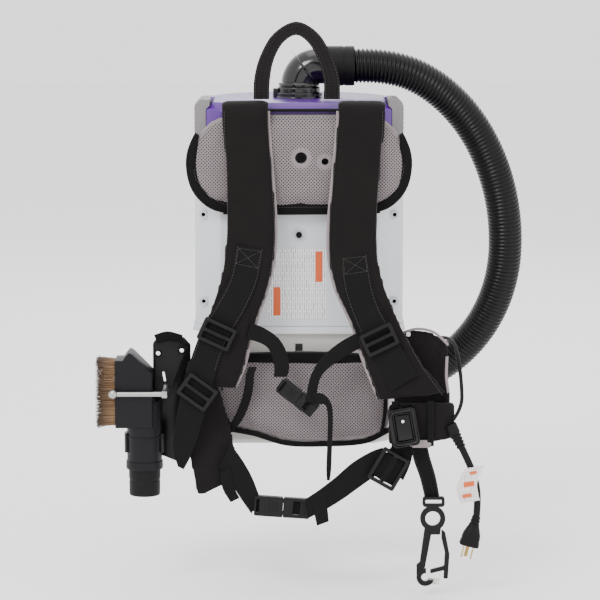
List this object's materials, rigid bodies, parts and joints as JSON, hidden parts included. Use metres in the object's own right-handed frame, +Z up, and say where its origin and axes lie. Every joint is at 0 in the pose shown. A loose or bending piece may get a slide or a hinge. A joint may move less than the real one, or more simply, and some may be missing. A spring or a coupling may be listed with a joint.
{
  "type": "backpack vacuum cleaner",
  "caption": "Backpack vacuum: latched canister with filter bag and motor base, swivel elbow, ribbed hose, padded harness, dust brush, switch and plug lead.",
  "frame": {"origin": "centre of the wearer's side of the lumbar pad, where the vacuum bears on the wearer's back", "axes": "+X to the wearer's right, +Y away from the wearer, +Z up"},
  "size_m": [0.5905, 0.3932, 0.756],
  "materials": {
    "canister_shell": "moulded polyethylene, satin",
    "base_shell": "moulded polyethylene, satin",
    "lid_shell": "moulded, satin gloss",
    "latch_grey": "moulded, satin",
    "rubber_trim": "soft foam rubber",
    "black_moulding": "fine texture",
    "gloss_black": "gloss",
    "hose_black": "satin corrugated vinyl",
    "webbing": "woven nylon webbing",
    "nylon": "woven nylon cloth",
    "mesh_pad": "air mesh",
    "buckle_black": "acetal, fine texture",
    "switch_black": "moulded",
    "cord_jacket": "vinyl jacket",
    "blade_brass": "plated brass",
    "peg_steel": "blackened steel",
    "black_screws": "black oxide",
    "steel": "plated steel",
    "cast_fan": "cast",
    "bristle": "horsehair tufts",
    "filter_cloth": "micro cloth",
    "filter_paper": "paper"
  },
  "bodies": {
    "pack": {"canister": "canister_shell", "motor_base": "base_shell", "hose_tie": "webbing", "latch_pins": "steel", "exhaust_filter": "filter_cloth", "motor_can": "steel", "motor_field": "steel", "motor_bearings": "steel", "motor_gasket": "rubber_trim", "dome_filter": "filter_cloth", "cloth_filter": "filter_cloth", "filter_bag": "filter_paper", "back_plates": "black_moulding", "case_screws": "black_screws", "upper_pad": "mesh_pad", "lumbar_pad": "mesh_pad", "belt_left": "nylon", "belt_right": "nylon", "shoulder_pad_left": "nylon", "shoulder_pad_right": "nylon", "carry_loop": "webbing", "webbing_left": "webbing", "webbing_right": "webbing", "sternum_buckle_female": "buckle_black", "waist_buckle_female": "buckle_black", "sternum_strap_left": "webbing", "sternum_strap_right": "webbing", "waist_strap_left": "webbing", "waist_strap_right": "webbing", "tool_holder": "black_moulding", "retaining_peg": "peg_steel", "switch_box": "switch_black", "control_lead": "cord_jacket", "power_cord": "cord_jacket", "strain_relief": "cord_jacket", "plug_body": "cord_jacket", "plug_blades": "blade_brass", "cord_hook_strap": "webbing"},
    "lid": {"lid": "lid_shell", "lid_gasket": "rubber_trim", "inlet_collar": "black_moulding", "hose": "hose_black", "hose_cuff_end": "black_moulding"},
    "elbow": {"elbow": "gloss_black", "hose_cuff_top": "black_moulding"},
    "latch_left": {"latch_left": "latch_grey"},
    "latch_right": {"latch_right": "latch_grey"},
    "rotor": {"rotor": "cast_fan"},
    "rocker": {"switch_rocker": "gloss_black"},
    "lock_upper_left": {"ladder_lock_upper_left": "buckle_black"},
    "lock_lower_left": {"ladder_lock_lower_left": "buckle_black"},
    "lock_right": {"ladder_lock_right": "buckle_black"},
    "adjuster": {"waist_adjuster": "buckle_black"},
    "sternum_plug": {"sternum_buckle_male": "buckle_black"},
    "waist_plug": {"waist_buckle_male": "buckle_black"},
    "brush": {"dust_brush": "black_moulding", "brush_bristles": "bristle", "tool_sleeve": "black_moulding"},
    "hook": {"cord_hook": "buckle_black"},
    "gate": {"hook_gate": "buckle_black"}
  },
  "joints": [
    {"name": "lid_lift", "type": "slide", "parent": "pack", "child": "lid", "axis": [0, 0, 1], "range_m": [0, 0.06], "deforming": ["hose"]},
    {"name": "elbow_swivel", "type": "hinge", "parent": "lid", "child": "elbow", "pos_m": [0, 0.13, 0.42], "axis": [0, 0, 1], "range_deg": [-45, 45]},
    {"name": "latch_left_swing", "type": "hinge", "parent": "pack", "child": "latch_left", "pos_m": [-0.134, 0.09, 0.349], "axis": [0, 1, 0], "range_deg": [-75, 0]},
    {"name": "latch_right_swing", "type": "hinge", "parent": "pack", "child": "latch_right", "pos_m": [0.134, 0.09, 0.349], "axis": [0, 1, 0], "range_deg": [0, 75]},
    {"name": "rotor_spin", "type": "hinge", "parent": "pack", "child": "rotor", "pos_m": [0, 0.13, 0], "axis": [0, 0, 1], "continuous": true},
    {"name": "rocker_press", "type": "hinge", "parent": "pack", "child": "rocker", "pos_m": [0.14, -0.068, -0.018], "axis": [0.9848, 0, 0.1736], "range_deg": [0, 14]},
    {"name": "upper_left_lock_tilt", "type": "hinge", "parent": "pack", "child": "lock_upper_left", "pos_m": [-0.10421, -0.047, 0.11742], "axis": [-0.9063, 0, 0.4226], "range_deg": [0, 28]},
    {"name": "lower_left_lock_tilt", "type": "hinge", "parent": "pack", "child": "lock_lower_left", "pos_m": [-0.12736, -0.0562, 0.03989], "axis": [-0.809, 0, 0.5878], "range_deg": [0, 28]},
    {"name": "right_lock_tilt", "type": "hinge", "parent": "pack", "child": "lock_right", "pos_m": [0.10099, -0.056, 0.11131], "axis": [-0.8988, 0, -0.4384], "range_deg": [0, 28]},
    {"name": "adjuster_tilt", "type": "hinge", "parent": "pack", "child": "adjuster", "pos_m": [0.10467, -0.0605, -0.06715], "axis": [-0.5, 0, -0.866], "range_deg": [0, 28]},
    {"name": "sternum_release", "type": "slide", "parent": "pack", "child": "sternum_plug", "axis": [0.7912, 0, -0.6115], "range_m": [0, 0.026], "deforming": ["sternum_strap_right"]},
    {"name": "waist_release", "type": "slide", "parent": "pack", "child": "waist_plug", "axis": [0.9976, 0, -0.0698], "range_m": [0, 0.032], "deforming": ["waist_strap_right"]},
    {"name": "brush_lift", "type": "slide", "parent": "pack", "child": "brush", "axis": [0, 0, 1], "range_m": [0, 0.12]},
    {"name": "hook_swing", "type": "hinge", "parent": "pack", "child": "hook", "pos_m": [0.181, -0.054, -0.117], "axis": [1, 0, 0], "range_deg": [-20, 20]},
    {"name": "gate_flex", "type": "hinge", "parent": "hook", "child": "gate", "pos_m": [0.192, -0.054, -0.162], "axis": [0, 1, 0], "range_deg": [0, 4], "stiffness_Nm_per_rad": 0.3}
  ],
  "couplings": [
    {"joint": "latch_left_swing", "follows": "lid_lift", "rad_per_m": -21.816},
    {"joint": "latch_right_swing", "follows": "lid_lift", "rad_per_m": 21.816}
  ]
}
